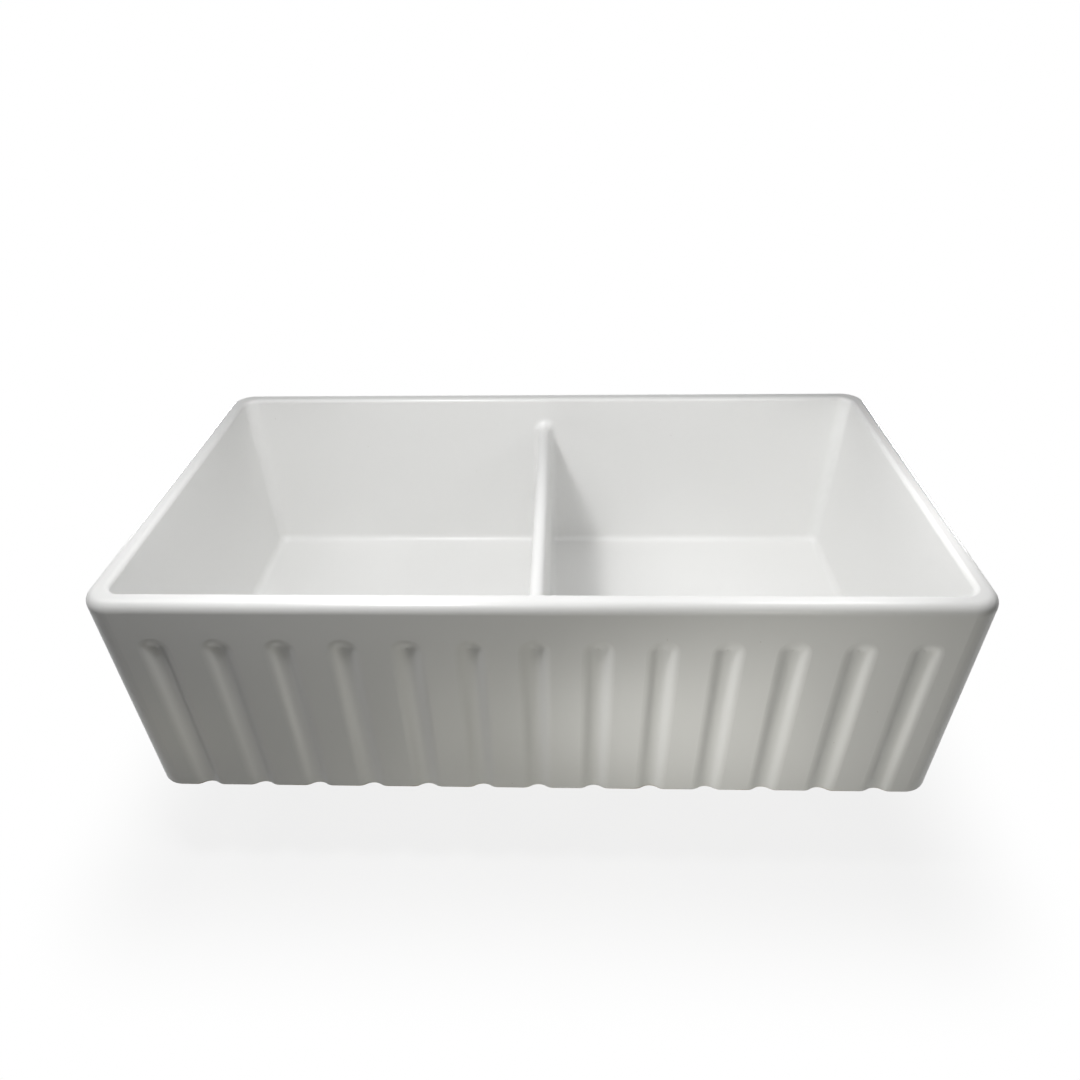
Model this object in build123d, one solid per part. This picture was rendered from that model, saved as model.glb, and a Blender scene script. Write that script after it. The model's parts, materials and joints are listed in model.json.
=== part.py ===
from build123d import *
import math
import os

# Farmhouse apron front sink with two bowls and a basket strainer in each.
# Millimetres. +X runs along the front, +Y to the back, +Z up.
# The origin is the centre of the basin's flat underside.

# Basin, overall
SINK_WIDTH = 838.2
SINK_DEPTH = 457.2
SINK_HEIGHT = 254.0
OUTER_CORNER_R = 28.0
RIM_OUTER_R = 10.0
RIM_INNER_R = 5.0
BASE_EDGE_R = 3.0

# Bowls and divider
WALL = 20.0
FLOOR = 30.0
FLOOR_EDGE_R = 9.5
BOWL_CORNER_EASE = 5.5
DIVIDER = 15.5
DIVIDER_CORNER_EASE = 0.5
DIVIDER_DROP = 37.0
FLOOR_FALL = 2.0
FALL_MARGIN = 15.0
DRAIN_LAND = 4.0
DRAIN_LIP_R = 1.5
DRAIN_RELIEF = 6.0
RELIEF_MARGIN = 4.0

# Flutes in the apron
FLUTE_COUNT = 13
FLUTE_END_LAND = 15.1
FLUTE_WIDTH = 32.0
FLUTE_DEPTH = 4.8
FLUTE_LIP_SHARE = 0.5
FLUTE_TOP_DROP = 39.5
FLUTE_OVERCUT = 2.0

# Strainer body
FLANGE_WIDTH = 14.65
FLANGE_THICK = 2.0
FLANGE_SIDE_GAP = 1.5
FLANGE_LIP_R = 4.0
SHANK_R = 42.5
SHANK_WALL = 2.5
SHANK_SPARE = 12.5
HOLE_CLEARANCE = 2.5
SEAT_THICK = 3.0
OUTLET_WALL = 3.5
OUTLET_BELOW_HUB = 7.0
THREAD_PITCH = 2.2
THREAD_DEPTH = 0.8
SPOKE_COUNT = 3
SPOKE_WIDTH = 2.5
SPOKE_HEIGHT = 5.0
HUB_HEIGHT = 7.0
HUB_WALL = 3.0
HUB_GAP = 5.0

# Seals, washers and nuts
SEAL_THICK = 1.5
GASKET_WIDTH = 13.0
GASKET_THICK = 5.0
FRICTION_THICK = 1.5
RING_CLEARANCE = 0.5
RING_EDGE_R = 0.5
LOCKNUT_WALL = 7.2
LOCKNUT_HEIGHT = 12.0
LOCKNUT_RIM_THICK = 3.0
LUG_COUNT = 8
LUG_REACH = 4.0
LUG_WIDTH = 9.0
THREAD_CLEARANCE = 0.3

# Tailpiece and coupling nut
TAILPIECE_R = 19.05
TAILPIECE_WALL = 1.2
TAILPIECE_LENGTH = 101.6
TAILPIECE_FLANGE_WIDTH = 3.65
TAILPIECE_FLANGE_THICK = 1.5
TAILPIECE_WASHER_THICK = 2.5
COUPLING_WALL = 4.0
COUPLING_HEIGHT = 20.0
COUPLING_LIP = 2.5
COUPLING_SIDES = 6
COUPLING_BORE_CLEARANCE = 0.8

# Basket and its stopper
BASKET_SIDE_CLEARANCE = 1.0
BASKET_SHEET = 0.8
BASKET_TAPER = 4.5
BASKET_CORNER_R = 5.0
BASKET_BEAD_R = 1.2
BASKET_RIM_DROP = 6.5
HOLE_R = 1.9
SIDE_HOLE_ROWS = 3
SIDE_HOLE_PITCH = 8.0
BASE_HOLE_PITCH = 7.0
STEM_R = 2.5
STEM_FIT = 0.05
TURN_CLEARANCE = 0.1
SEAT_CLEARANCE = 0.2
COLLAR_R = 6.0
COLLAR_THICK = 1.5
KNOB_R = 9.0
KNOB_HEIGHT = 6.0
KNOB_EDGE_R = 2.2
KNOB_NECK = 5.0
KNOB_DROP = 2.0
STOPPER_OVERLAP = 8.5
STOPPER_THICK = 5.0
STOPPER_EDGE_R = 1.2
STOPPER_NUT_WALL = 2.2
STOPPER_NUT_HEIGHT = 4.0
CLIP_WALL = 0.4
CLIP_BULGE = 0.35
CLIP_HEIGHT = 5.0
CLIP_SLOT = 1.2
CLIP_CLEARANCE = 0.3
TIP_HEIGHT = 2.0

NEAR = 0.01

# Bowls: sizes that follow
inner_width = SINK_WIDTH - 2 * WALL
inner_depth = SINK_DEPTH - 2 * WALL
bowl_width = (inner_width - DIVIDER) / 2
bowl_corner_r = FLOOR_EDGE_R + BOWL_CORNER_EASE
divider_corner_r = FLOOR_EDGE_R + DIVIDER_CORNER_EASE
drain_x = (DIVIDER + bowl_width) / 2
crown_z = SINK_HEIGHT - DIVIDER_DROP
front_y = -SINK_DEPTH / 2
fluted_width = SINK_WIDTH - 2 * OUTER_CORNER_R - 2 * FLUTE_END_LAND
flute_pitch = (fluted_width - FLUTE_WIDTH) / (FLUTE_COUNT - 1)
fall_r = min(bowl_width, inner_depth) / 2 - FLOOR_EDGE_R - FALL_MARGIN

# Drain: levels that follow, from the floor down
drain_z = FLOOR - FLOOR_FALL
flange_z = drain_z - FLANGE_THICK
recess_z = flange_z - SEAL_THICK
relief_z = DRAIN_RELIEF
gasket_z = relief_z - GASKET_THICK
friction_z = gasket_z - FRICTION_THICK
locknut_z = friction_z - LOCKNUT_HEIGHT
shank_end_z = locknut_z - SHANK_SPARE
seat_z = shank_end_z + SEAT_THICK
stopper_z = seat_z + SEAT_CLEARANCE
basket_z = stopper_z + STOPPER_THICK + TURN_CLEARANCE
basket_rim_z = drain_z - BASKET_RIM_DROP
collar_z = basket_z + BASKET_SHEET + TURN_CLEARANCE
knob_z = drain_z - KNOB_DROP - KNOB_HEIGHT
stopper_nut_z = stopper_z - STOPPER_NUT_HEIGHT
hub_top_z = stopper_nut_z - HUB_GAP
hub_z = hub_top_z - HUB_HEIGHT
clip_z = hub_z + (HUB_HEIGHT - CLIP_HEIGHT) / 2
tip_z = clip_z - TIP_HEIGHT
outlet_z = hub_z - OUTLET_BELOW_HUB
tail_washer_z = outlet_z - TAILPIECE_WASHER_THICK
tail_flange_z = tail_washer_z - TAILPIECE_FLANGE_THICK
tailpiece_end_z = tail_flange_z - TAILPIECE_LENGTH
coupling_z = tail_flange_z - COUPLING_LIP

# Drain: radii that follow
drain_hole_r = SHANK_R + HOLE_CLEARANCE
flange_r = SHANK_R + FLANGE_WIDTH
recess_r = flange_r + FLANGE_SIDE_GAP
land_r = recess_r + DRAIN_LAND
cup_r = SHANK_R - SHANK_WALL
tail_flange_r = TAILPIECE_R + TAILPIECE_FLANGE_WIDTH
outlet_r = tail_flange_r + RING_CLEARANCE + THREAD_DEPTH
outlet_bore_r = outlet_r - OUTLET_WALL
ring_bore_r = SHANK_R + RING_CLEARANCE
gasket_r = ring_bore_r + GASKET_WIDTH
locknut_bore_r = SHANK_R + THREAD_CLEARANCE
locknut_r = locknut_bore_r + LOCKNUT_WALL
lug_r = locknut_r + LUG_REACH
relief_r = max(gasket_r, lug_r) + RELIEF_MARGIN
stopper_r = outlet_bore_r + STOPPER_OVERLAP
basket_rim_r = cup_r - BASKET_SIDE_CLEARANCE
basket_top_r = basket_rim_r - BASKET_BEAD_R
basket_base_r = basket_top_r - BASKET_TAPER
clip_bore_r = STEM_R + STEM_FIT
clip_r = clip_bore_r + CLIP_WALL + CLIP_BULGE
hub_bore_r = clip_r + CLIP_CLEARANCE
hub_r = hub_bore_r + HUB_WALL
tail_bore_r = TAILPIECE_R - TAILPIECE_WALL
coupling_bore_r = outlet_r + THREAD_CLEARANCE
coupling_r = coupling_bore_r + COUPLING_WALL

UPWARD = (Align.CENTER, Align.CENTER, Align.MIN)


def rod(radius, low_z, high_z):
    """An upright rod on the drain's axis."""
    return Pos(0, 0, low_z) * Cylinder(radius, high_z - low_z, align=UPWARD)


def ring(outer_r, inner_r, low_z, high_z):
    """An upright ring on the drain's axis, square in section."""
    return rod(outer_r, low_z, high_z) - rod(inner_r, low_z, high_z)


def soft_ring(outer_r, inner_r, low_z, high_z):
    """A ring whose outer edges are eased."""
    rim = [edge for edge in rod(outer_r, low_z, high_z).edges() if edge.geom_type == GeomType.CIRCLE]
    eased = fillet(rim, RING_EDGE_R)
    return eased - rod(inner_r, low_z, high_z)


def turned(outline):
    """A solid turned about the drain's axis from (radius, height) corners."""
    corners = [(radius, 0, height) for radius, height in outline]
    return revolve(make_face(Polyline(*corners, close=True)), Axis.Z)


def threaded_rod(crest_r, low_z, high_z):
    """A rod with ring threads from low_z up, and a plain rest below high_z."""
    root_r = crest_r - THREAD_DEPTH
    turns = int((high_z - low_z) / THREAD_PITCH)
    outline = [(0, low_z), (root_r, low_z)]
    for turn in range(turns):
        thread_z = low_z + turn * THREAD_PITCH
        outline.append((crest_r, thread_z + THREAD_PITCH * 0.4))
        outline.append((crest_r, thread_z + THREAD_PITCH * 0.6))
        outline.append((root_r, thread_z + THREAD_PITCH))
    outline.append((root_r, high_z))
    outline.append((0, high_z))
    return turned(outline)


def around(count, shape):
    """Copies of a shape, evenly spaced about the drain's axis."""
    return [Rot(0, 0, 360 * step / count) * shape for step in range(count)]


def edges_at_height(solid, height):
    """The edges that lie level at one height."""
    return solid.edges().filter_by_position(Axis.Z, height - NEAR, height + NEAR)


# ------------------------------------------------------------------ basin


def outer_block():
    """The basin's outside, with rounded upright corners."""
    block = Box(SINK_WIDTH, SINK_DEPTH, SINK_HEIGHT, align=UPWARD)
    return fillet(block.edges().filter_by(Axis.Z), OUTER_CORNER_R)


def inner_space():
    """The space inside the four walls, above the floor."""
    space = Pos(0, 0, FLOOR) * Box(inner_width, inner_depth, SINK_HEIGHT, align=UPWARD)
    return fillet(space.edges().filter_by(Axis.Z), bowl_corner_r)


def divider_wall():
    """The low wall between the bowls, with a fully rounded crown."""
    crown_r = DIVIDER / 2
    foot_z = FLOOR / 2
    length = inner_depth + WALL
    slab_height = crown_z - crown_r - foot_z
    slab = Pos(0, 0, foot_z) * Box(DIVIDER, length, slab_height, align=UPWARD)
    crown = Pos(0, 0, crown_z - crown_r) * Rot(90, 0, 0) * Cylinder(crown_r, length)
    return slab + crown


def flute_half_outline():
    """Half of a flute's section: a convex lip, then the hollow, as two tangent arcs.

    Across is measured from the flute's centre line, and depth into the apron.
    """
    half_width = FLUTE_WIDTH / 2
    both_radii = (half_width**2 + FLUTE_DEPTH**2) / (2 * FLUTE_DEPTH)
    lip_r = both_radii * FLUTE_LIP_SHARE
    hollow_r = both_radii - lip_r
    sweep = math.asin(half_width / both_radii)
    bend = (hollow_r * math.sin(sweep), FLUTE_DEPTH - hollow_r * (1 - math.cos(sweep)))
    lip_middle = (half_width - lip_r * math.sin(sweep / 2), lip_r * (1 - math.cos(sweep / 2)))
    hollow_middle = (
        hollow_r * math.sin(sweep / 2),
        FLUTE_DEPTH - hollow_r * (1 - math.cos(sweep / 2)),
    )
    return (half_width, 0), lip_middle, bend, hollow_middle, (0, FLUTE_DEPTH)


def flute_half_section():
    """Half of a flute's section as a face, with across along X and depth along Y."""
    edge, lip_middle, bend, hollow_middle, bottom = flute_half_outline()
    lip = ThreePointArc(edge, lip_middle, bend)
    hollow = ThreePointArc(bend, hollow_middle, bottom)
    outside = Polyline(bottom, (0, -FLUTE_OVERCUT), (edge[0], -FLUTE_OVERCUT), edge)
    return make_face([lip, hollow, outside])


def flute_cutter():
    """One flute: a straight run up from the base, with a round top."""
    half = flute_half_section()
    section = half + mirror(half, about=Plane.YZ)
    top_z = SINK_HEIGHT - FLUTE_TOP_DROP - FLUTE_WIDTH / 2
    run = extrude(Pos(0, 0, -FLUTE_OVERCUT) * section, top_z + FLUTE_OVERCUT, dir=(0, 0, 1))
    end = Pos(0, 0, top_z) * revolve(half, Axis.Y, revolution_arc=-180)
    return Pos(0, front_y, 0) * (run + end)


def drain_cutter():
    """The fall of the floor, the flange's recess, the hole and the relief below, at one drain."""
    fall = Pos(0, 0, drain_z) * Cone(land_r, fall_r, FLOOR_FALL, align=UPWARD)
    recess = rod(recess_r, recess_z, FLOOR)
    relief = rod(relief_r, -BASE_EDGE_R, relief_z)
    return fall + recess + relief + rod(drain_hole_r, -BASE_EDGE_R, FLOOR)


def joins_divider_to_wall(edge):
    middle = edge @ 0.5
    on_wall = abs(abs(middle.Y) - inner_depth / 2) < NEAR
    on_divider = abs(middle.X) < DIVIDER / 2 + NEAR
    return on_wall and on_divider and FLOOR + NEAR < middle.Z < SINK_HEIGHT - NEAR


def inside_walls(edge):
    middle = edge @ 0.5
    return abs(middle.X) < inner_width / 2 + NEAR and abs(middle.Y) < inner_depth / 2 + NEAR


def basin():
    """The whole fired body: bowls, divider, drains, rim and fluted apron."""
    body = outer_block() - inner_space() + divider_wall()
    body = fillet(body.edges().filter_by(joins_divider_to_wall), divider_corner_r)
    body = fillet(edges_at_height(body, FLOOR), FLOOR_EDGE_R)
    rim = edges_at_height(body, SINK_HEIGHT)
    inner_rim = [edge for edge in rim if inside_walls(edge)]
    body = fillet(inner_rim, RIM_INNER_R)
    rim = edges_at_height(body, SINK_HEIGHT)
    outer_rim = [edge for edge in rim if not inside_walls(edge)]
    body = fillet(outer_rim, RIM_OUTER_R)
    first_x = -(FLUTE_COUNT - 1) / 2 * flute_pitch
    flute = flute_cutter()
    body = body - [Pos(first_x + step * flute_pitch, 0, 0) * flute for step in range(FLUTE_COUNT)]
    body = fillet(edges_at_height(body, 0), BASE_EDGE_R)
    drain = drain_cutter()
    body = body - [Pos(side * drain_x, 0, 0) * drain for side in (-1, 1)]
    lips = edges_at_height(body, drain_z).filter_by(lambda edge: edge.radius < recess_r + NEAR)
    return fillet(lips, DRAIN_LIP_R)


# ------------------------------------------------- strainer body and its fastenings


def strainer_body():
    """Flange, threaded shank with its seat, spoked hub and threaded outlet, in one piece."""
    flange = rod(flange_r, flange_z, drain_z)
    flange = fillet(edges_at_height(flange, drain_z), FLANGE_THICK * 0.6)
    shank = rod(SHANK_R, relief_z, drain_z) + threaded_rod(SHANK_R, shank_end_z, relief_z)
    outlet = threaded_rod(outlet_r, outlet_z, shank_end_z)
    cup = rod(cup_r, seat_z, drain_z)
    cup = fillet(edges_at_height(cup, seat_z), SEAT_THICK / 2)
    body = flange + shank + outlet - cup - rod(outlet_bore_r, outlet_z, seat_z)
    mouth = edges_at_height(body, drain_z).filter_by(lambda edge: edge.radius < SHANK_R)
    body = fillet(mouth, FLANGE_LIP_R)
    spoke_length = outlet_bore_r + OUTLET_WALL / 2
    spoke_z = hub_z + (HUB_HEIGHT - SPOKE_HEIGHT) / 2
    spoke = Pos(spoke_length / 2, 0, spoke_z) * Box(spoke_length, SPOKE_WIDTH, SPOKE_HEIGHT, align=UPWARD)
    hub = rod(hub_r, hub_z, hub_top_z)
    return body + around(SPOKE_COUNT, spoke) + hub - rod(hub_bore_r, hub_z, hub_top_z)


def flange_seal():
    """Thin seal between the flange and the recess."""
    return ring(flange_r - FLANGE_THICK, ring_bore_r, recess_z, flange_z)


def sink_gasket():
    """Thick rubber ring in the relief under the basin."""
    return soft_ring(gasket_r, ring_bore_r, gasket_z, relief_z)


def friction_washer():
    """Fibre ring between the rubber and the locknut."""
    return ring(gasket_r, ring_bore_r, friction_z, gasket_z)


def locknut():
    """Large nut with lugs below a flat rim."""
    rim = rod(lug_r, friction_z - LOCKNUT_RIM_THICK, friction_z)
    lug_length = lug_r - SHANK_R
    lug_middle = SHANK_R + lug_length / 2
    lug = Pos(lug_middle, 0, locknut_z) * Box(lug_length, LUG_WIDTH, LOCKNUT_HEIGHT, align=UPWARD)
    blank = rod(locknut_r, locknut_z, friction_z) + rim
    lugs = around(LUG_COUNT, lug & rod(lug_r, locknut_z, friction_z))
    return blank + lugs - rod(locknut_bore_r, locknut_z, friction_z)


def tailpiece_washer():
    """Sealing ring between the outlet's end and the tailpiece's flange."""
    return ring(tail_flange_r, tail_bore_r, tail_washer_z, outlet_z)


def tailpiece():
    """Waste tube with a flange at its top."""
    tube = rod(TAILPIECE_R, tailpiece_end_z, tail_washer_z)
    flange = rod(tail_flange_r, tail_flange_z, tail_washer_z)
    return tube + flange - rod(tail_bore_r, tailpiece_end_z, tail_washer_z)


def coupling_nut():
    """Slip nut: thread over the outlet, lip under the tailpiece's flange."""
    top_z = coupling_z + COUPLING_HEIGHT
    sides = RegularPolygon(coupling_r, COUPLING_SIDES, major_radius=False)
    prism = extrude(Pos(0, 0, coupling_z) * sides, COUPLING_HEIGHT)
    corner_r = coupling_r / math.cos(math.pi / COUPLING_SIDES)
    turned_blank = rod(corner_r, coupling_z, top_z)
    blank = prism & chamfer(turned_blank.edges().filter_by(GeomType.CIRCLE), COUPLING_LIP)
    bore = rod(coupling_bore_r, tail_flange_z, top_z)
    lip_bore = rod(TAILPIECE_R + COUPLING_BORE_CLEARANCE, coupling_z, tail_flange_z)
    return blank - bore - lip_bore


# ------------------------------------------------------- basket and what rides on it


def cup_form(top_r, base_r, low_z, high_z, corner_r):
    """A tapered round form with a rounded lower edge."""
    height = high_z - low_z
    form = Pos(0, 0, low_z) * Cone(base_r, top_r, height, align=UPWARD)
    return fillet(edges_at_height(form, low_z), corner_r)


def side_holes():
    """Rows of round holes through the basket's side."""
    count = int(2 * math.pi * basket_base_r / SIDE_HOLE_PITCH)
    first_z = basket_z + BASKET_CORNER_R + HOLE_R
    last_z = basket_rim_z - 2 * BASKET_BEAD_R - 2 * HOLE_R
    row_step = (last_z - first_z) / (SIDE_HOLE_ROWS - 1)
    start_r = basket_base_r - BASKET_CORNER_R
    drill = Pos(start_r, 0, 0) * Rot(0, 90, 0) * Cylinder(HOLE_R, basket_rim_r - start_r, align=UPWARD)
    holes = []
    for row in range(SIDE_HOLE_ROWS):
        stagger = 180 / count * (row % 2)
        level = Pos(0, 0, first_z + row * row_step) * Rot(0, 0, stagger)
        holes += [level * copy for copy in around(count, drill)]
    return holes


def base_holes():
    """Rings of round holes through the basket's base, clear of the collar."""
    drill = rod(HOLE_R, basket_z - BASKET_SHEET, basket_z + 2 * BASKET_SHEET)
    holes = []
    circle_r = COLLAR_R + BASE_HOLE_PITCH / 2
    while circle_r < basket_base_r - BASKET_CORNER_R - HOLE_R:
        count = int(2 * math.pi * circle_r / BASE_HOLE_PITCH)
        holes += around(count, Pos(circle_r, 0, 0) * drill)
        circle_r += BASE_HOLE_PITCH
    return holes


def basket():
    """Perforated cup with a rolled rim, loose on its post."""
    outside = cup_form(basket_top_r, basket_base_r, basket_z, basket_rim_z, BASKET_CORNER_R)
    inside = cup_form(
        basket_top_r - BASKET_SHEET,
        basket_base_r - BASKET_SHEET,
        basket_z + BASKET_SHEET,
        basket_rim_z,
        BASKET_CORNER_R - BASKET_SHEET,
    )
    bead = Pos(0, 0, basket_rim_z - BASKET_BEAD_R) * Torus(basket_top_r, BASKET_BEAD_R)
    cup = outside - inside
    cup = cup - rod(STEM_R + TURN_CLEARANCE, basket_z, basket_z + BASKET_SHEET)
    return cup - side_holes() - base_holes() + bead


def basket_post():
    """Post with a knob, a neck, a collar over the basket's base and a headed tip."""
    knob = rod(KNOB_R, knob_z, knob_z + KNOB_HEIGHT)
    knob = fillet(knob.edges().filter_by(GeomType.CIRCLE), KNOB_EDGE_R)
    neck = Pos(0, 0, knob_z - KNOB_NECK) * Cone(STEM_R, COLLAR_R, KNOB_NECK, align=UPWARD)
    stem = rod(STEM_R, tip_z, knob_z + KNOB_HEIGHT / 2)
    collar = rod(COLLAR_R, collar_z, collar_z + COLLAR_THICK)
    tip = rod(clip_r, tip_z, clip_z)
    return knob + neck + stem + collar + tip


def basket_stopper():
    """Rubber disc that closes the seat."""
    disc = rod(stopper_r, stopper_z, stopper_z + STOPPER_THICK)
    disc = fillet(disc.edges().filter_by(GeomType.CIRCLE), STOPPER_EDGE_R)
    return disc - rod(STEM_R + STEM_FIT, stopper_z, stopper_z + STOPPER_THICK)


def stopper_nut():
    """Hexagonal nut under the stopper."""
    sides = RegularPolygon(STEM_R + STOPPER_NUT_WALL, 6, major_radius=False)
    blank = extrude(Pos(0, 0, stopper_nut_z) * sides, STOPPER_NUT_HEIGHT)
    return blank - rod(STEM_R + STEM_FIT, stopper_nut_z, stopper_z)


def spring_clip():
    """Split sleeve with a slight bulge, which grips the hub."""
    end_r = clip_bore_r + CLIP_WALL
    top_z = clip_z + CLIP_HEIGHT
    sleeve = turned(
        [
            (clip_bore_r, clip_z),
            (end_r, clip_z),
            (clip_r, clip_z + CLIP_HEIGHT / 2),
            (end_r, top_z),
            (clip_bore_r, top_z),
        ]
    )
    slot = Pos(clip_r, 0, clip_z) * Box(2 * clip_r, CLIP_SLOT, CLIP_HEIGHT, align=UPWARD)
    return sleeve - slot


STRAINER_PIECES = {
    "flange_seal": flange_seal,
    "strainer_body": strainer_body,
    "sink_gasket": sink_gasket,
    "friction_washer": friction_washer,
    "locknut": locknut,
    "tailpiece_washer": tailpiece_washer,
    "tailpiece": tailpiece,
    "coupling_nut": coupling_nut,
    "basket": basket,
    "basket_post": basket_post,
    "basket_stopper": basket_stopper,
    "stopper_nut": stopper_nut,
    "spring_clip": spring_clip,
}


def main():
    os.makedirs("parts", exist_ok=True)
    export_step(basin(), "parts/basin.step")
    for piece_name, make_piece in STRAINER_PIECES.items():
        piece = make_piece()
        for side_name, side in (("left", -1), ("right", 1)):
            placed = Pos(side * drain_x, 0, 0) * piece
            export_step(placed, f"parts/{side_name}_{piece_name}.step")


main()
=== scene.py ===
import json
import math

import bpy
from mathutils import Matrix, Vector


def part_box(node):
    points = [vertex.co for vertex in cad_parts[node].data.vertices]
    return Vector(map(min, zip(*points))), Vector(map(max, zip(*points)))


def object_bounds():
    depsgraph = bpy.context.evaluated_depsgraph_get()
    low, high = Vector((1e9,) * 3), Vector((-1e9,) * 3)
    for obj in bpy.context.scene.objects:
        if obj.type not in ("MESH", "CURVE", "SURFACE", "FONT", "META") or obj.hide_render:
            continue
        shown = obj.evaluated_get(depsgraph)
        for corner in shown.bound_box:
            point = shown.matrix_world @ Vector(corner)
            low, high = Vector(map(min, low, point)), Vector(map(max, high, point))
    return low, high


# A fluted apron front sink of white glazed fireclay, with its basket strainers, above a pale floor.
# Metres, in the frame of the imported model: +X along the front, +Y to the back, +Z up.

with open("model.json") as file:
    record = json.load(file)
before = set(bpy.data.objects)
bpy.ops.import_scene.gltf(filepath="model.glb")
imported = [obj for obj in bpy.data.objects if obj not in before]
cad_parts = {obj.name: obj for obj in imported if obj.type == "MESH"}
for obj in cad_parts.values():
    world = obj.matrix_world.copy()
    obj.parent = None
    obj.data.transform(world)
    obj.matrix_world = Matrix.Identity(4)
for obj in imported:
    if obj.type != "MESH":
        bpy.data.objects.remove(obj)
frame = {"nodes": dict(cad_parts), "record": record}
cad_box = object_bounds()

# Camera, as solved from the outline of the basin in the photograph
PHOTO_SIZE = 1080
FOCAL_PX = 792.71
AXIS_ROW_PX = 587.71
SENSOR_MM = 36.0
CAMERA_PLACE = Vector((0.028735, -0.775036, 0.698219))
CAMERA_YAW = 0.0407
CAMERA_PITCH = 0.6577
CAMERA_ROLL = -0.0220

# Lamps: where each stands, what it points at and its power in watts, and either the width and
# depth of a panel or the cone of a spotlight in degrees. Warmth is none where it isn't given.
BOWLS = (0.0, 0.0, 0.1)
APRON = (0.1, -0.23, 0.12)
APRON_RIGHT = (0.27, -0.23, 0.11)
LAMPS = {
    "key": dict(place=(-0.237, -0.31, 0.82), aim=BOWLS, power=2.9, size=(0.11, 0.11)),
    "left_sky": dict(place=(-0.8, 0.0, 1.2), aim=BOWLS, power=1.95, size=(0.5, 0.5)),
    "left_strip": dict(place=(-0.2, -0.06, 0.5), aim=(-0.2, -0.06, 0.1), power=0.31, size=(0.3, 0.06)),
    "right_panel": dict(place=(0.227, -0.04, 0.5), aim=(0.227, -0.04, 0.1), power=0.34, size=(0.4, 0.3)),
    "right_near": dict(place=(0.32, -0.12, 0.45), aim=(0.3, 0.0, 0.1), power=0.33, size=(0.2, 0.1)),
    "right_floor": dict(place=(0.2, -0.1, 0.75), aim=(0.2, 0.09, 0.03), power=1.9, cone=28.0),
    "front_fill": dict(place=(0.3, -0.6, 0.3), aim=APRON, power=0.21, size=(0.15, 0.15), warmth=1.0),
    "low_panel": dict(
        place=(0.095, -0.43, -0.14), aim=(0.095, -0.33, 0.1), power=0.46, size=(0.55, 0.22), warmth=1.0
    ),
    "front_spot": dict(place=(-0.2, -0.5, 0.1), aim=(0.25, -0.23, 0.11), power=2.55, cone=48.0, warmth=0.2),
    "low_spot": dict(place=(0.0, -0.7, -0.1), aim=APRON_RIGHT, power=0.75, cone=35.0, warmth=0.2),
    "left_end": dict(place=(-0.2, -0.65, 0.1), aim=(-0.4, -0.23, 0.08), power=0.45, cone=22.0, warmth=2.0),
    "right_side": dict(place=(1.1, 1.0, 0.06), aim=(0.42, 0.1, 0.03), power=5.5, size=(0.4, 0.2)),
    "left_side": dict(place=(-1.1, 1.0, 0.06), aim=(-0.42, 0.1, 0.03), power=6.0, size=(0.4, 0.2)),
    "back": dict(place=(0.0, 1.3, 0.04), aim=(0.0, 0.23, 0.04), power=1.0, size=(1.2, 0.36)),
}
SPOT_SOFTNESS = 1.0
SPOT_BULB_R = 0.06
PLAIN_LIGHT = Vector((1.0, 1.0, 1.0))
WARM_LIGHT = Vector((1.0, 0.988, 0.885))

# Floor: how it bounces light, how it shows, and how far round the sink its shadow shows
FLOOR_HALF = 6.0
FLOOR_BOUNCE = (0.35, 0.345, 0.32)
FLOOR_SHOWN = (0.9, 0.9, 0.9)
SHADOW_SHARE = 0.16
SHADOW_REACH = 0.2

# Colours of the finishes
GLAZE_DULL = (0.872, 0.872, 0.862)
GLAZE_BRIGHT = (0.886, 0.886, 0.877)
GLAZE_SPECK = (0.34, 0.29, 0.23)
CLAY_DARK = (0.66, 0.6, 0.52)
CLAY_PALE = (0.78, 0.73, 0.66)
CLAY_GRAIN = (0.5, 0.43, 0.35)
STAINLESS = (0.58, 0.58, 0.57)
POLISHED_STEEL = (0.62, 0.62, 0.61)
CHROME = (0.57, 0.58, 0.59)
CHROME_DROP = (0.46, 0.47, 0.46)
BRASS = (0.68, 0.52, 0.27)
BRASS_TARNISH = (0.43, 0.31, 0.17)
BRASS_PIT = (0.34, 0.25, 0.14)
GASKET_BLACK = (0.022, 0.022, 0.023)
GASKET_BLOOM = (0.065, 0.065, 0.066)
STOPPER_BLACK = (0.035, 0.035, 0.037)
STOPPER_BLOOM = (0.075, 0.075, 0.078)
FIBRE_DARK = (0.25, 0.16, 0.1)
FIBRE_PALE = (0.52, 0.38, 0.25)
FOAM_CELL = (0.07, 0.07, 0.075)
FOAM_SKIN = (0.2, 0.2, 0.21)
PLASTIC_DULL = (0.76, 0.76, 0.71)
PLASTIC_PALE = (0.85, 0.85, 0.81)

# Roughness of the glaze, all above 0.274: a range across that value shows as flakes once denoised
GLAZE_SMOOTHEST = 0.285
GLAZE_ROUGHEST = 0.325
BARE_CLAY_ROUGHNESS = 0.92

# Places on the sink that its finishes follow: the drains' axes, the reliefs under the basin, a
# little wider and deeper than the gaskets in them, and the glaze's lower edge
RELIEF_WIDER = 0.0045
RELIEF_DEEPER = 0.0025
GLAZE_LINE = 0.0022
GLAZE_LINE_SWING = 0.4
GLAZE_EDGE = 0.0004
basin_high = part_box("basin")[1]
strainer_low, strainer_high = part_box("right_strainer_body")
gasket_low, gasket_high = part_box("right_sink_gasket")
DRAIN_X = (strainer_low.x + strainer_high.x) / 2
RELIEF_R = (gasket_high.x - gasket_low.x) / 2 + RELIEF_WIDER
RELIEF_TOP = gasket_high.z + RELIEF_DEEPER


# ------------------------------------------------------------------ node helpers


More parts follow.
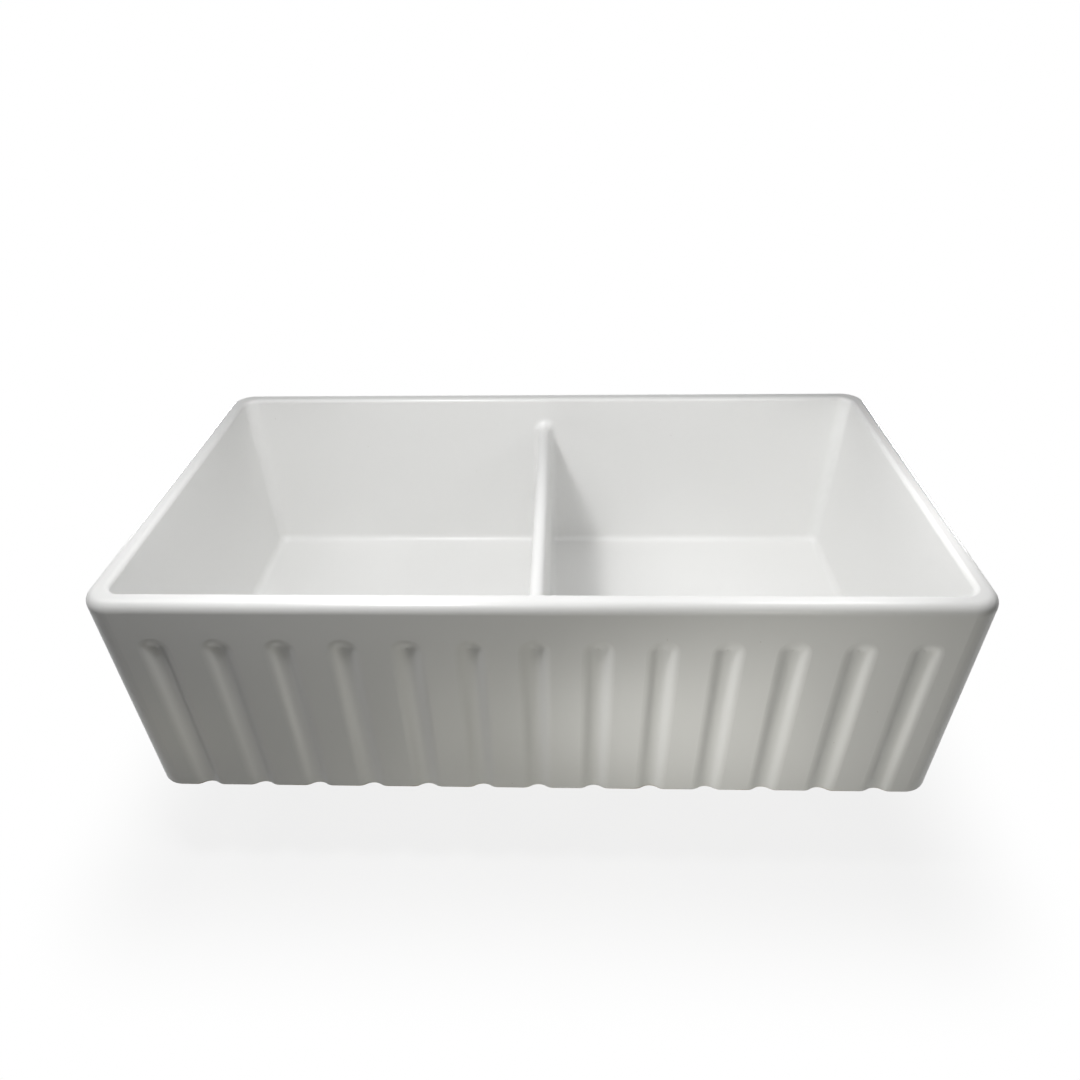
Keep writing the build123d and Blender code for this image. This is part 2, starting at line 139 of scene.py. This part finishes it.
class Finish:
    """A material in the making: one Principled shader and the nodes that feed it."""

    def __init__(self, name, **constants):
        self.material = bpy.data.materials.new(name)
        self.material.use_nodes = True
        self.tree = self.material.node_tree
        self.shader = self.tree.nodes["Principled BSDF"]
        for socket, value in constants.items():
            self.shader.inputs[socket.replace("_", " ")].default_value = value
        self.point = self.add("ShaderNodeTexCoord").outputs["Object"]

    def add(self, kind, inputs=(), **settings):
        """A node with its settings and its inputs, which are values or other nodes' outputs."""
        node = self.tree.nodes.new(kind)
        for name, value in settings.items():
            setattr(node, name, value)
        for socket, value in dict(inputs).items():
            self.feed(node.inputs[socket], value)
        return node

    def feed(self, socket, value):
        """Links another node's output to the socket, or sets the socket to a value."""
        if isinstance(value, bpy.types.NodeSocket):
            self.tree.links.new(value, socket)
        else:
            socket.default_value = value

    def maths(self, operation, first, second=0.0):
        node = self.add("ShaderNodeMath", operation=operation)
        self.feed(node.inputs[0], first)
        self.feed(node.inputs[1], second)
        return node.outputs[0]

    def parts(self, point):
        """The three coordinates of a point."""
        return self.add("ShaderNodeSeparateXYZ", {"Vector": point}).outputs

    def stretch(self, point, factors):
        """The point with each of its coordinates multiplied."""
        node = self.add("ShaderNodeVectorMath", operation="MULTIPLY")
        self.feed(node.inputs[0], point)
        node.inputs[1].default_value = factors
        return node.outputs[0]

    def noise(self, scale, detail=2.0, point=None):
        """Cloudy noise from 0 to 1, with the given number of lumps to the metre."""
        where = self.point if point is None else point
        node = self.add("ShaderNodeTexNoise", {"Vector": where, "Scale": scale, "Detail": detail})
        return node.outputs["Fac"]

    def ramp(self, value, low, high, new_low=0.0, new_high=1.0, smooth=False):
        """The value, as it goes from low to high, turned into new_low to new_high."""
        kind = "SMOOTHSTEP" if smooth else "LINEAR"
        node = self.add("ShaderNodeMapRange", interpolation_type=kind)
        for socket, number in zip(node.inputs, (value, low, high, new_low, new_high)):
            self.feed(socket, number)
        return node.outputs[0]

    def specks(self, per_metre, radius, share):
        """1 inside small round specks, which only a share of the cells of a loose grid hold."""
        cells = self.add("ShaderNodeTexVoronoi", {"Vector": self.point, "Scale": per_metre})
        edge = radius * per_metre
        inside = self.ramp(cells.outputs["Distance"], edge * 0.5, edge, 1.0, 0.0, smooth=True)
        chance = self.add("ShaderNodeSeparateColor", {"Color": cells.outputs["Color"]}).outputs[0]
        return self.maths("MULTIPLY", inside, self.maths("LESS_THAN", chance, share))

    def mix(self, share, first, second):
        """A colour between two colours, which are triples or other nodes' outputs."""
        node = self.add("ShaderNodeMix", data_type="RGBA")
        self.feed(node.inputs["Factor"], share)
        for socket, tint in ((node.inputs[6], first), (node.inputs[7], second)):
            self.feed(socket, tint if isinstance(tint, bpy.types.NodeSocket) else (*tint, 1.0))
        return node.outputs[2]

    def blend(self, share, first, second):
        """A number between two numbers or other nodes' outputs."""
        node = self.add("ShaderNodeMix", data_type="FLOAT")
        self.feed(node.inputs["Factor"], share)
        self.feed(node.inputs[2], first)
        self.feed(node.inputs[3], second)
        return node.outputs[0]

    def bump(self, height, distance, strength=1.0, below=None):
        """The normal over a height from 0 to 1 that stands for a distance, on another bump if given."""
        node = self.add("ShaderNodeBump", {"Height": height, "Distance": distance, "Strength": strength})
        if below is not None:
            self.feed(node.inputs["Normal"], below)
        return node.outputs["Normal"]

    def set(self, **sockets):
        """Feeds the shader's sockets, and gives the finished material."""
        for socket, value in sockets.items():
            self.feed(self.shader.inputs[socket.replace("_", " ")], value)
        return self.material


def from_drain_axis(finish):
    """How far the shaded point is from the nearer drain's axis."""
    parts = finish.parts(finish.point)
    across = finish.maths("SUBTRACT", finish.maths("ABSOLUTE", parts["X"]), DRAIN_X)
    squares = finish.maths("ADD", finish.maths("POWER", across, 2.0), finish.maths("POWER", parts["Y"], 2.0))
    return finish.maths("SQRT", squares)


def turned_point(finish):
    """The shaded point as radius and height about its drain, which turned and brushed marks follow."""
    height = finish.parts(finish.point)["Z"]
    return finish.add("ShaderNodeCombineXYZ", {"X": from_drain_axis(finish), "Y": height}).outputs[0]


# ------------------------------------------------------------------ finishes


def unglazed(clay):
    """1 on the bare clay of the underside, below a slightly wavy glaze line, and in the drains' reliefs."""
    height = clay.parts(clay.point)["Z"]
    lowest, highest = GLAZE_LINE * (1 - GLAZE_LINE_SWING), GLAZE_LINE * (1 + GLAZE_LINE_SWING)
    line = clay.ramp(clay.noise(scale=28.0, detail=3.0), 0.3, 0.7, lowest, highest)
    below_line = clay.ramp(clay.maths("SUBTRACT", height, line), 0.0, GLAZE_EDGE, 1.0, 0.0)
    near_drain = clay.maths("LESS_THAN", from_drain_axis(clay), RELIEF_R)
    in_relief = clay.maths("MULTIPLY", near_drain, clay.maths("LESS_THAN", height, RELIEF_TOP))
    return clay.maths("MAXIMUM", below_line, in_relief)


def fireclay():
    """White gloss glaze with a faint waviness, pinholes and rare specks, over bare fired clay underneath."""
    clay = Finish("fireclay", IOR=1.52)
    bare = unglazed(clay)
    cloud = clay.ramp(clay.noise(scale=6.0, detail=1.0), 0.3, 0.7)
    white = clay.mix(cloud, GLAZE_DULL, GLAZE_BRIGHT)
    specked = clay.mix(clay.specks(per_metre=60.0, radius=0.00045, share=0.4), white, GLAZE_SPECK)
    grain = clay.noise(scale=800.0, detail=4.0)
    stains = clay.noise(scale=16.0, detail=4.0)
    biscuit = clay.mix(clay.ramp(stains, 0.35, 0.65), CLAY_DARK, CLAY_PALE)
    biscuit = clay.mix(clay.ramp(grain, 0.55, 0.75), biscuit, CLAY_GRAIN)
    gloss = clay.ramp(clay.noise(scale=9.0, detail=1.0), 0.3, 0.7, GLAZE_SMOOTHEST, GLAZE_ROUGHEST)
    waves = clay.bump(clay.noise(scale=8.0, detail=0.0), distance=0.0012, strength=0.25)
    holes = clay.specks(per_metre=90.0, radius=0.0004, share=0.3)
    pinholes = clay.bump(holes, distance=-0.0002, strength=0.8, below=waves)
    sandy = clay.bump(grain, distance=0.0003, strength=clay.maths("MULTIPLY", bare, 0.9), below=pinholes)
    return clay.set(
        Base_Color=clay.mix(bare, specked, biscuit),
        Roughness=clay.blend(bare, gloss, BARE_CLAY_ROUGHNESS),
        Normal=sandy,
    )


def brushed_steel(name, base, roughness, brush_depth):
    """Stainless steel with fine turned or brushed rings about its drain, and faint handling marks."""
    steel = Finish(name, Metallic=1.0)
    rings = steel.noise(scale=2600.0, point=turned_point(steel))
    broad_rings = steel.noise(scale=300.0, point=turned_point(steel))
    marks = steel.ramp(steel.noise(scale=45.0, detail=5.0), 0.4, 0.75)
    dark = tuple(0.84 * channel for channel in base)
    tint = steel.mix(steel.ramp(broad_rings, 0.35, 0.65, 0.0, 0.6), base, dark)
    sheen = steel.ramp(rings, 0.3, 0.7, roughness * 0.75, roughness * 1.25)
    sheen = steel.maths("ADD", sheen, steel.maths("MULTIPLY", marks, 0.08))
    scratches = steel.bump(rings, distance=brush_depth, strength=0.6)
    return steel.set(Base_Color=tint, Roughness=sheen, Normal=scratches)


def chrome():
    """Bright chrome plate over brass, with a trace of polishing and dried drops."""
    plate = Finish("chromed_brass", Metallic=1.0)
    drops = plate.specks(per_metre=140.0, radius=0.0016, share=0.35)
    film = plate.ramp(plate.noise(scale=35.0, detail=4.0), 0.45, 0.75)
    tint = plate.mix(plate.maths("MULTIPLY", drops, 0.35), CHROME, CHROME_DROP)
    sheen = plate.maths("ADD", plate.ramp(film, 0.0, 1.0, 0.06, 0.14), plate.maths("MULTIPLY", drops, 0.18))
    polish = plate.bump(plate.noise(scale=240.0), distance=0.00003, strength=0.4)
    return plate.set(Base_Color=tint, Roughness=sheen, Normal=polish)


def cast_brass():
    """Unplated brass as cast in sand, dulled in its hollows."""
    brass = Finish("cast_brass", Metallic=1.0)
    sand = brass.noise(scale=1300.0, detail=3.0)
    tarnish = brass.ramp(brass.noise(scale=50.0, detail=5.0), 0.38, 0.66)
    pits = brass.ramp(sand, 0.3, 0.5, 0.7, 0.0)
    return brass.set(
        Base_Color=brass.mix(pits, brass.mix(tarnish, BRASS, BRASS_TARNISH), BRASS_PIT),
        Roughness=brass.ramp(sand, 0.3, 0.7, 0.58, 0.4),
        Normal=brass.bump(sand, distance=0.0003, strength=0.8),
    )


def rubber(name, dark, bloom, roughness):
    """Moulded rubber with fine pores and a patchy grey bloom."""
    gum = Finish(name, IOR=1.5, Specular_IOR_Level=0.4)
    patches = gum.ramp(gum.noise(scale=55.0, detail=5.0), 0.42, 0.72, 0.0, 0.85)
    pores = gum.noise(scale=1500.0, detail=3.0)
    return gum.set(
        Base_Color=gum.mix(patches, dark, bloom),
        Roughness=gum.ramp(patches, 0.0, 1.0, roughness, roughness + 0.16),
        Normal=gum.bump(pores, distance=0.00012, strength=0.5),
    )


def pressed_fibre():
    """Brown pressed fibre: short crossing fibres in a dull binder."""
    board = Finish("fibre", Specular_IOR_Level=0.25)
    along = board.noise(scale=500.0, detail=3.0, point=board.stretch(board.point, (0.25, 1.6, 1.0)))
    across = board.noise(scale=500.0, detail=3.0, point=board.stretch(board.point, (1.6, 0.25, 1.0)))
    fibres = board.maths("MAXIMUM", along, across)
    return board.set(
        Base_Color=board.mix(board.ramp(fibres, 0.5, 0.72), FIBRE_DARK, FIBRE_PALE),
        Roughness=board.ramp(fibres, 0.4, 0.75, 0.92, 0.74),
        Normal=board.bump(fibres, distance=0.00015, strength=0.7),
    )


def cut_foam():
    """Cut grey foam rubber with open cells."""
    foam = Finish("foam_seal", Specular_IOR_Level=0.2)
    cells = foam.add("ShaderNodeTexVoronoi", {"Vector": foam.point, "Scale": 1400.0}).outputs["Distance"]
    return foam.set(
        Base_Color=foam.mix(foam.ramp(cells, 0.1, 0.6), FOAM_CELL, FOAM_SKIN),
        Roughness=foam.ramp(cells, 0.1, 0.6, 0.95, 0.82),
        Normal=foam.bump(cells, distance=0.0003, strength=0.7),
    )


def washer_plastic():
    """Milky plastic, a little clear at its edges, with faint moulding swirls."""
    plastic = Finish("washer_poly", IOR=1.5, Subsurface_Weight=0.3, Subsurface_Scale=0.002)
    swirls = plastic.ramp(plastic.noise(scale=120.0, detail=4.0), 0.35, 0.65)
    return plastic.set(
        Base_Color=plastic.mix(swirls, PLASTIC_DULL, PLASTIC_PALE),
        Roughness=plastic.ramp(swirls, 0.0, 1.0, 0.34, 0.46),
        Normal=plastic.bump(plastic.noise(scale=900.0), distance=0.00005, strength=0.5),
    )


def finishes():
    """The finish of each material slot in the record."""
    return {
        "fireclay": fireclay(),
        "stainless": brushed_steel("stainless", STAINLESS, roughness=0.3, brush_depth=0.00003),
        "polished_steel": brushed_steel("polished_steel", POLISHED_STEEL, roughness=0.12, brush_depth=0.00001),
        "black_rubber": rubber("black_rubber", GASKET_BLACK, GASKET_BLOOM, roughness=0.62),
        "stopper_rubber": rubber("stopper_rubber", STOPPER_BLACK, STOPPER_BLOOM, roughness=0.45),
        "foam_seal": cut_foam(),
        "fibre": pressed_fibre(),
        "cast_brass": cast_brass(),
        "chromed_brass": chrome(),
        "washer_poly": washer_plastic(),
    }


def dress():
    """Gives every node of the sink the finish of its slot."""
    by_slot = finishes()
    for subpart in frame["record"]["subparts"]:
        mesh = frame["nodes"][subpart["node"]].data
        mesh.materials.clear()
        mesh.materials.append(by_slot[subpart["material_slot"]])


# ------------------------------------------------------------------ stage


def put_in_scene(name, data):
    """An object with the given camera, lamp or mesh, in the scene."""
    holder = bpy.data.objects.new(name, data)
    bpy.context.scene.collection.objects.link(holder)
    return holder


def add_camera():
    """The camera that took the photograph, whose frame was cropped off its lens's axis."""
    across = Vector((math.cos(CAMERA_YAW), math.sin(CAMERA_YAW), 0.0))
    level_ahead = Vector((-math.sin(CAMERA_YAW), math.cos(CAMERA_YAW), 0.0))
    ahead = level_ahead * math.cos(CAMERA_PITCH) - Vector((0.0, 0.0, math.sin(CAMERA_PITCH)))
    above = across.cross(ahead)
    right = across * math.cos(CAMERA_ROLL) + above * math.sin(CAMERA_ROLL)
    up = above * math.cos(CAMERA_ROLL) - across * math.sin(CAMERA_ROLL)
    camera = put_in_scene("camera", bpy.data.cameras.new("camera"))
    turn = Matrix((right, up, -ahead)).transposed().to_4x4()
    camera.matrix_world = Matrix.Translation(CAMERA_PLACE) @ turn
    camera.data.sensor_width = SENSOR_MM
    camera.data.lens = SENSOR_MM * FOCAL_PX / PHOTO_SIZE
    camera.data.shift_y = (AXIS_ROW_PX - PHOTO_SIZE / 2) / PHOTO_SIZE
    bpy.context.scene.camera = camera


def add_lamps():
    """The lamps, which light the sink but aren't seen themselves."""
    for name, lamp in LAMPS.items():
        light = bpy.data.lights.new(name, "SPOT" if "cone" in lamp else "AREA")
        if "cone" in lamp:
            light.spot_size = math.radians(lamp["cone"])
            light.spot_blend = SPOT_SOFTNESS
            light.shadow_soft_size = SPOT_BULB_R
        else:
            light.shape = "RECTANGLE"
            light.size, light.size_y = lamp["size"]
        light.energy = lamp["power"]
        light.color = PLAIN_LIGHT.lerp(WARM_LIGHT, lamp.get("warmth", 0.0))
        holder = put_in_scene(name, light)
        holder.location = lamp["place"]
        beam = Vector(lamp["aim"]) - Vector(lamp["place"])
        holder.rotation_euler = beam.to_track_quat("-Z", "Y").to_euler()
        holder.visible_camera = False


def seen_rays(tree):
    """1 for rays that the camera, a gloss or a clear material sends, and 0 for the rest."""
    path = tree.nodes.new("ShaderNodeLightPath").outputs
    total = path["Is Camera Ray"]
    for other in ("Is Glossy Ray", "Is Transmission Ray"):
        add = tree.nodes.new("ShaderNodeMath")
        add.operation = "MAXIMUM"
        tree.links.new(total, add.inputs[0])
        tree.links.new(path[other], add.inputs[1])
        total = add.outputs[0]
    return total


def add_world():
    """White to the eye and in reflections; the lamps alone light the sink."""
    world = bpy.data.worlds.new("studio")
    bpy.context.scene.world = world
    world.use_nodes = True
    tree = world.node_tree
    tree.links.new(seen_rays(tree), tree.nodes["Background"].inputs["Strength"])
    tree.nodes["Background"].inputs["Color"].default_value = (1.0, 1.0, 1.0, 1.0)


def beyond_sink(paint):
    """How far a point of the floor is from the rectangle that the sink covers."""
    parts = paint.parts(paint.point)
    excess = []
    for axis, half in (("X", basin_high.x), ("Y", basin_high.y)):
        past = paint.maths("SUBTRACT", paint.maths("ABSOLUTE", parts[axis]), half)
        excess.append(paint.maths("POWER", paint.maths("MAXIMUM", past, 0.0), 2.0))
    return paint.maths("SQRT", paint.maths("ADD", *excess))


def add_floor():
    """A pale floor that shows white, with a faint shadow of the sink."""
    level = cad_box[0][2]
    corners = [(x * FLOOR_HALF, y * FLOOR_HALF, level) for x, y in ((-1, -1), (1, -1), (1, 1), (-1, 1))]
    mesh = bpy.data.meshes.new("floor")
    mesh.from_pydata(corners, [], [(0, 1, 2, 3)])
    floor = put_in_scene("floor", mesh)
    paint = Finish("floor", Roughness=1.0, Specular_IOR_Level=0.0)
    mesh.materials.append(paint.material)
    seen = seen_rays(paint.tree)
    paint.set(Base_Color=paint.mix(seen, FLOOR_BOUNCE, FLOOR_SHOWN))
    shadow = paint.ramp(beyond_sink(paint), 0.0, SHADOW_REACH, SHADOW_SHARE, 0.0, smooth=True)
    white = paint.maths("MULTIPLY", seen, paint.maths("SUBTRACT", 1.0, shadow))
    glow = paint.add("ShaderNodeEmission")
    shown = paint.add("ShaderNodeMixShader")
    paint.feed(shown.inputs[0], white)
    paint.feed(shown.inputs[1], paint.shader.outputs[0])
    paint.feed(shown.inputs[2], glow.outputs[0])
    paint.feed(paint.tree.nodes["Material Output"].inputs["Surface"], shown.outputs[0])


dress()
add_camera()
add_lamps()
add_world()
add_floor()
bpy.context.scene.view_settings.view_transform = "Standard"
